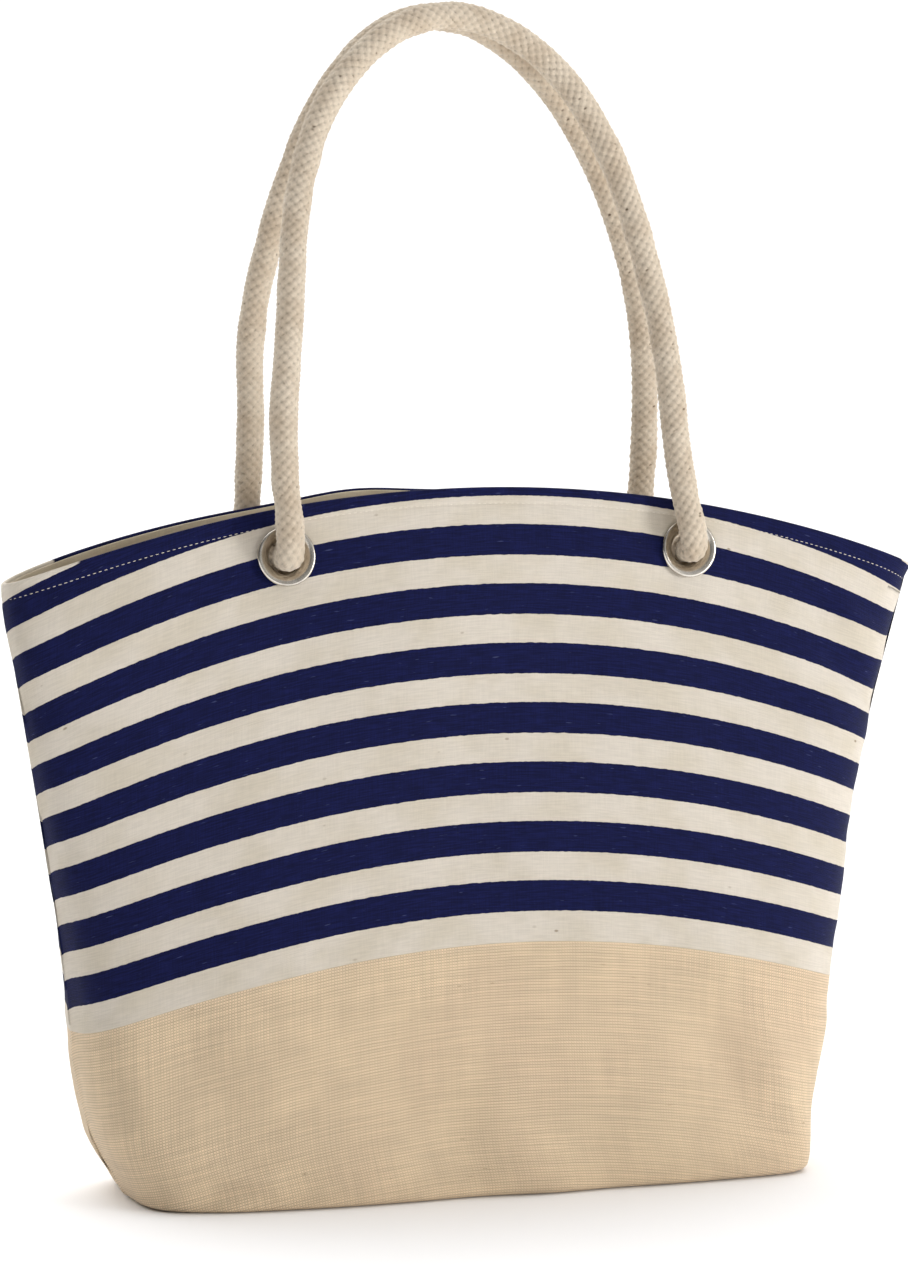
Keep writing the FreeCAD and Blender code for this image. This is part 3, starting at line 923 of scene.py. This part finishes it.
def base_cloth(name, node, inset, low, high, material):
    """A flat cloth over the foot of the bag, a little uneven."""
    around, rings = 240, 26
    angles = np.linspace(0, 2 * math.pi, around, endpoint=False)
    points, flats = [], []
    for level, order in ((low, range(1, rings + 1)), (high, range(rings, 0, -1))):
        for ring in order:
            across, depth = outline(np.array(low), angles, inset)
            across = across * ring / rings
            depth = depth * np.sign(np.sin(angles)) * ring / rings
            bumps = lattice_noise(across, depth, 0.04, 31) * 0.0002 + 0.0002
            lift = bumps * (1 - (ring / rings) ** 4)
            points.append(np.stack([across + sway(level), depth, level + lift], axis=1))
            flats.append(np.stack([across, depth], axis=1))
    points, flats = np.concatenate(points), np.concatenate(flats)
    faces = grid_faces(2 * rings, around, close_columns=True)
    middle_low, middle_high = len(points), len(points) + 1
    points = np.concatenate([points, [[0, 0, low + 0.0002], [0, 0, high + 0.0002]]])
    flats = np.concatenate([flats, [[0, 0], [0, 0]]])
    faces += fan_faces(2 * rings, around, middle_low, middle_high)
    item = make_object(name, points, faces, material)
    set_uv(item, CLOTH_UV, flats)
    face_outward(item)
    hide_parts(node)
    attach(item, "bag")


# ---- stitches


def capsule(start, end, radius, lift):
    """One stitch: a short bowed thread between two holes."""
    start, end = Vector(start), Vector(end)
    axis = (end - start).normalized()
    outward = Vector(lift).normalized()
    side = axis.cross(outward).normalized()
    rings, around = STITCH_RINGS, STITCH_AROUND
    points, faces = [], []
    for ring in range(rings):
        share = ring / (rings - 1)
        bow = math.sin(math.pi * share)
        centre = start.lerp(end, share) + outward * (radius * 1.1 * bow - radius * 0.4)
        swell = radius * (0.55 + 0.45 * bow)
        for step in range(around):
            turn = 2 * math.pi * step / around
            points.append(centre + (side * math.cos(turn) + outward * math.sin(turn)) * swell)
    faces += grid_faces(rings, around, close_columns=True)
    faces.append(tuple(reversed(range(around))))
    faces.append(tuple((rings - 1) * around + step for step in range(around)))
    return points, faces


def mouth_stitches(side_name, side, material):
    """The row of stitches that holds the hem of the mouth."""
    stitch, gap = 0.0030, 0.0002
    heights = MOUTH_HEIGHTS[side] - HEM_WIDTH
    line, _ = cloth_row(side, heights, 0.0003, 0.0)
    outer, _ = cloth_row(side, heights, -0.0010, 0.0)
    steps = np.linalg.norm(np.diff(line, axis=0), axis=1)
    travelled = np.concatenate([[0.0], np.cumsum(steps)])
    points, faces = [], []
    start = 0.0005

    def at(source, distance):
        return [np.interp(distance, travelled, source[:, axis]) for axis in range(3)]

    while start + stitch < travelled[-1]:
        first, last = at(line, start), at(line, start + stitch - gap)
        middle = start + stitch / 2
        lift = np.array(at(outer, middle)) - np.array(at(line, middle))
        new_points, new_faces = capsule(first, last, STITCH_RADIUS, lift)
        faces += [tuple(index + len(points) for index in face) for face in new_faces]
        points += new_points
        start += stitch
    item = make_object(side_name + "_mouth_stitches", points, faces, material)
    shares = np.repeat(np.linspace(0, 1, STITCH_RINGS), STITCH_AROUND)
    shares = np.tile(shares, len(points) // len(shares))
    set_uv(item, STITCH_UV, np.stack([shares, 0 * shares], axis=1))
    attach(item, "bag")


# ---- ropes

ROPE_RADIUS = 0.00725
HANDLE_RISE = 0.2775
HANDLE_TOP_GAP = 0.0004
ROPE_STEP = 0.0008
ROPE_AROUND = 72
KNOT_ROPE_RADIUS = 0.0062

# Each rope's route in its handle's own plane, in millimetres as in the CAD model.
FRONT_ROUTE = [
    (-109, 0), (-113, 60), (-106, 120), (-100, 185), (-82, 235), (-45, 271), (-5, 279),
    (39, 257), (71, 209), (88, 150), (98, 95), (100, 45), (109, 0),
]
BACK_ROUTE = [
    (-109, 0), (-108, 65), (-111, 120), (-97, 180), (-77, 235), (-45, 272), (-6, 279),
    (37, 255), (73, 208), (95, 159), (108, 110), (111, 50), (109, 0),
]
STRANDS = 8
BRAID_PITCH = 0.0050


def handle_point(side, across, along):
    top_depth = ROPE_RADIUS + HANDLE_TOP_GAP / 2
    lean = math.asin((HANDLE_PIVOT_DEPTH - top_depth) / HANDLE_RISE)
    depth = HANDLE_PIVOT_DEPTH - along * math.sin(lean)
    return Vector((across, side * depth, EYELET_HEIGHT + along * math.cos(lean)))


def spline_points(points, resolution=24):
    """Points read from the NURBS spline that has these control points."""
    curve = bpy.data.curves.new("route", "CURVE")
    curve.dimensions = "3D"
    spline = curve.splines.new("NURBS")
    spline.points.add(len(points) - 1)
    for control, point in zip(spline.points, points):
        control.co = (*point, 1.0)
    spline.order_u = 3
    spline.use_endpoint_u = True
    spline.resolution_u = resolution
    holder = bpy.data.objects.new("route", curve)
    mesh = bpy.data.meshes.new_from_object(holder)
    found = np.array([vertex.co for vertex in mesh.vertices])
    bpy.data.objects.remove(holder)
    bpy.data.curves.remove(curve)
    bpy.data.meshes.remove(mesh)
    return found


def even_points(points, spacing):
    """The same line with points at an even spacing, and the distance to each."""
    steps = np.linalg.norm(np.diff(points, axis=0), axis=1)
    keep = np.concatenate([[True], steps > 1e-9])
    points = points[keep]
    steps = np.linalg.norm(np.diff(points, axis=0), axis=1)
    travelled = np.concatenate([[0.0], np.cumsum(steps)])
    count = max(4, int(round(travelled[-1] / spacing)))
    wanted = np.linspace(0.0, travelled[-1], count + 1)
    return np.stack([np.interp(wanted, travelled, points[:, axis]) for axis in range(3)], axis=1), wanted


def braid_height(turn, along):
    """Height of a braid's surface from 0 to 1, and which way its strand runs."""
    first = STRANDS * turn / (2 * math.pi) + along / BRAID_PITCH
    second = STRANDS * turn / (2 * math.pi) - along / BRAID_PITCH
    cell_first, cell_second = np.floor(first), np.floor(second)
    part_first, part_second = first - cell_first, second - cell_second
    crown_first = np.sqrt(np.clip(1 - (2 * part_first - 1) ** 2, 0, 1))
    crown_second = np.sqrt(np.clip(1 - (2 * part_second - 1) ** 2, 0, 1))
    parity = (cell_first + cell_second) % 2
    swing_first = np.where(parity == 0, 1, -1) * np.sin(np.pi * part_second)
    swing_second = np.where(parity == 0, -1, 1) * np.sin(np.pi * part_first)
    height_first = crown_first * (0.62 + 0.38 * swing_first)
    height_second = crown_second * (0.62 + 0.38 * swing_second)
    slant = np.where(height_first > height_second, -1.0, 1.0)
    return np.maximum(height_first, height_second), slant


def braided_rope(name, line, material, seed, radius=ROPE_RADIUS, relief_depth=0.0013):
    """A braided rope along a line of close points."""
    points, travelled = even_points(line, ROPE_STEP)
    count, around = len(points), ROPE_AROUND
    tangents = np.gradient(points, axis=0)
    tangents /= np.linalg.norm(tangents, axis=1)[:, None]
    normal = np.cross(tangents[0], [0.0, 1.0, 0.0])
    if np.linalg.norm(normal) < 0.1:
        normal = np.cross(tangents[0], [1.0, 0.0, 0.0])
    normal /= np.linalg.norm(normal)
    normals = []
    for tangent in tangents:
        normal = normal - tangent * (normal @ tangent)
        normal = normal / np.linalg.norm(normal)
        normals.append(normal)
    normals = np.array(normals)
    sides = np.cross(tangents, normals)
    turn = np.linspace(0, 2 * math.pi, around, endpoint=False)
    turns, alongs = np.meshgrid(turn, travelled)
    wobble = lattice_noise(alongs, 0 * turns, 0.018, seed) * 0.0006
    braid, slant = braid_height(turns + wobble * 40, alongs)
    lumps = lattice_noise(alongs, turns * 0.004, 0.011, seed + 1) * 0.00042
    reach = radius - relief_depth + braid * relief_depth + lumps
    ring = np.cos(turns)[:, :, None] * normals[:, None, :] + np.sin(turns)[:, :, None] * sides[:, None, :]
    mesh_points = (points[:, None, :] + ring * reach[:, :, None]).reshape(-1, 3)
    faces = grid_faces(count, around, close_columns=True)
    start_cap, end_cap = len(mesh_points), len(mesh_points) + 1
    mesh_points = np.concatenate([mesh_points, [points[0], points[-1]]])
    faces += fan_faces(count, around, start_cap, end_cap)
    item = make_object(name, mesh_points, faces, material)
    rope_uv = np.stack([turns.ravel() * radius, alongs.ravel()], axis=1)
    cavity_uv = np.stack([braid.ravel(), slant.ravel()], axis=1)
    set_uv(item, ROPE_UV, np.concatenate([rope_uv, [[0, 0], [0, 0]]]))
    set_uv(item, ROPE_CAVITY_UV, np.concatenate([cavity_uv, [[1, 1], [1, 1]]]))
    face_outward(item)
    return item, points, travelled[-1]


def rope_handle(side_name, side, route, material):
    """One rope: in through an eyelet, up over the handle's arch, and out through the other eyelet."""
    wall = float(wall_depth(EYELET_ACROSS, EYELET_HEIGHT))
    arch = [handle_point(side, across / 1000, along / 1000) for across, along in route]
    inside = (wall - 0.018, wall - 0.004)
    into_left = [Vector((-EYELET_ACROSS, side * depth, EYELET_HEIGHT)) for depth in inside]
    into_right = [Vector((EYELET_ACROSS, side * depth, EYELET_HEIGHT)) for depth in reversed(inside)]
    line = spline_points(into_left + arch + into_right)
    rope, path, length = braided_rope(side_name + "_rope", line, material, 40 + side)
    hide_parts(side_name + "_handle_rope")
    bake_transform(rope)


def knot_line(side, end):
    """An overhand knot that starts behind an eyelet and ends in a tail that hangs inside the bag."""
    wall = float(wall_depth(EYELET_ACROSS, EYELET_HEIGHT))
    centre = Vector((end * EYELET_ACROSS, side * (wall - 0.0175), EYELET_HEIGHT - 0.004))
    size, thick = 0.0047, 0.0058
    points = [Vector((end * EYELET_ACROSS, side * (wall - 0.004), EYELET_HEIGHT))]
    for step in range(17):
        turn = math.radians(60 + 300 * step / 16)
        across = size * (math.sin(turn) + 2 * math.sin(2 * turn))
        up = size * (math.cos(turn) - 2 * math.cos(2 * turn))
        points.append(centre + Vector((end * across, -side * thick * math.sin(3 * turn), up)))
    last = points[-1]
    points.append(last + Vector((-end * 0.006, 0, -0.016)))
    points.append(last + Vector((-end * 0.009, 0, -0.034)))
    return spline_points(points, 12)


def rope_knot(side_name, side, end_name, end, material):
    name = "%s_%s_knot" % (side_name, end_name)
    line = knot_line(side, end)
    seed = 60 + side + end
    knot, _, _ = braided_rope(name + "_rope", line, material, seed, KNOT_ROPE_RADIUS, relief_depth=0.0011)
    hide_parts(name)
    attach(knot, "bag")


# ---- eyelets

EYELET_WAVE = 0.00006


def arc(middle, radii, start, end, steps):
    """Points of an arc, circular or elliptic, in the plane of a section; the angles are in degrees."""
    turns = np.radians(np.linspace(start, end, steps))
    return [(middle[0] + radii[0] * np.cos(turn), middle[1] + radii[1] * np.sin(turn)) for turn in turns]


# Distance from the eyelet's axis and height above the cloth: the lip, the throat, the curl that is clinched
# inside the bag, and the underside.
EYELET_SECTION = (
    arc((0.01410, 0.00080), (0.00105, 0.00105), -35, 90, 6)
    + arc((0.01410, -0.00420), (0.00570, 0.00605), 95, 180, 10)
    + arc((0.00915, -0.00450), (0.00075, 0.00075), 190, 360, 7)
    + arc((0.01060, -0.00300), (0.00155, 0.00308), 180, 90, 6)
)


def eyelet_ring(name, side, end, material):
    """A rolled metal eyelet, lathed about the axis of its hole."""
    around = 96
    points = lathe_points(side, end, EYELET_SECTION, around, EYELET_WAVE)
    faces = grid_faces(len(EYELET_SECTION), around, close_rows=True, close_columns=True)
    item = make_object(name + "_eyelet_ring", points, faces, material)
    face_outward(item)
    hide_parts(name + "_eyelet")
    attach(item, "bag")


# ---- build

make_camera()

rope_cotton = rope_material()
rope_handle("front", FRONT, FRONT_ROUTE, rope_cotton)
rope_handle("back", BACK, BACK_ROUTE, rope_cotton)
for side_name, side in SIDES:
    for end_name, end in ENDS:
        rope_knot(side_name, side, end_name, end, rope_cotton)

canvas = canvas_material()
jute = jute_material()
cotton = lining_material()
thread = thread_material()
for side_name, side in SIDES:
    canvas_panel(side_name, side, canvas)
    jute_panel(side_name, side, jute)
    lining_panel(side_name, side, cotton)
    mouth_stitches(side_name, side, thread)
base_cloth("base_jute_cloth", "jute_base", 0.012, 0.0003, 0.0016, jute)
base_cloth("base_lining_cloth", "base_lining", 0.0033, 0.0020, 0.0026, cotton)

nickel = metal_material()
for side_name, side in SIDES:
    for end_name, end in ENDS:
        eyelet_ring("%s_%s" % (side_name, end_name), side, end, nickel)
        washer = bpy.data.objects["%s_%s_washer" % (side_name, end_name)]
        for slot in washer.material_slots:
            slot.material = nickel

corners = [(FLOOR_REACH * x, FLOOR_REACH * y, 0) for x, y in ((-1, -1), (1, -1), (1, 1), (-1, 1))]
floor = make_object("floor", corners, [(0, 1, 2, 3)], floor_material())

make_world()
make_key_light()
bpy.context.scene.view_settings.view_transform = "Standard"
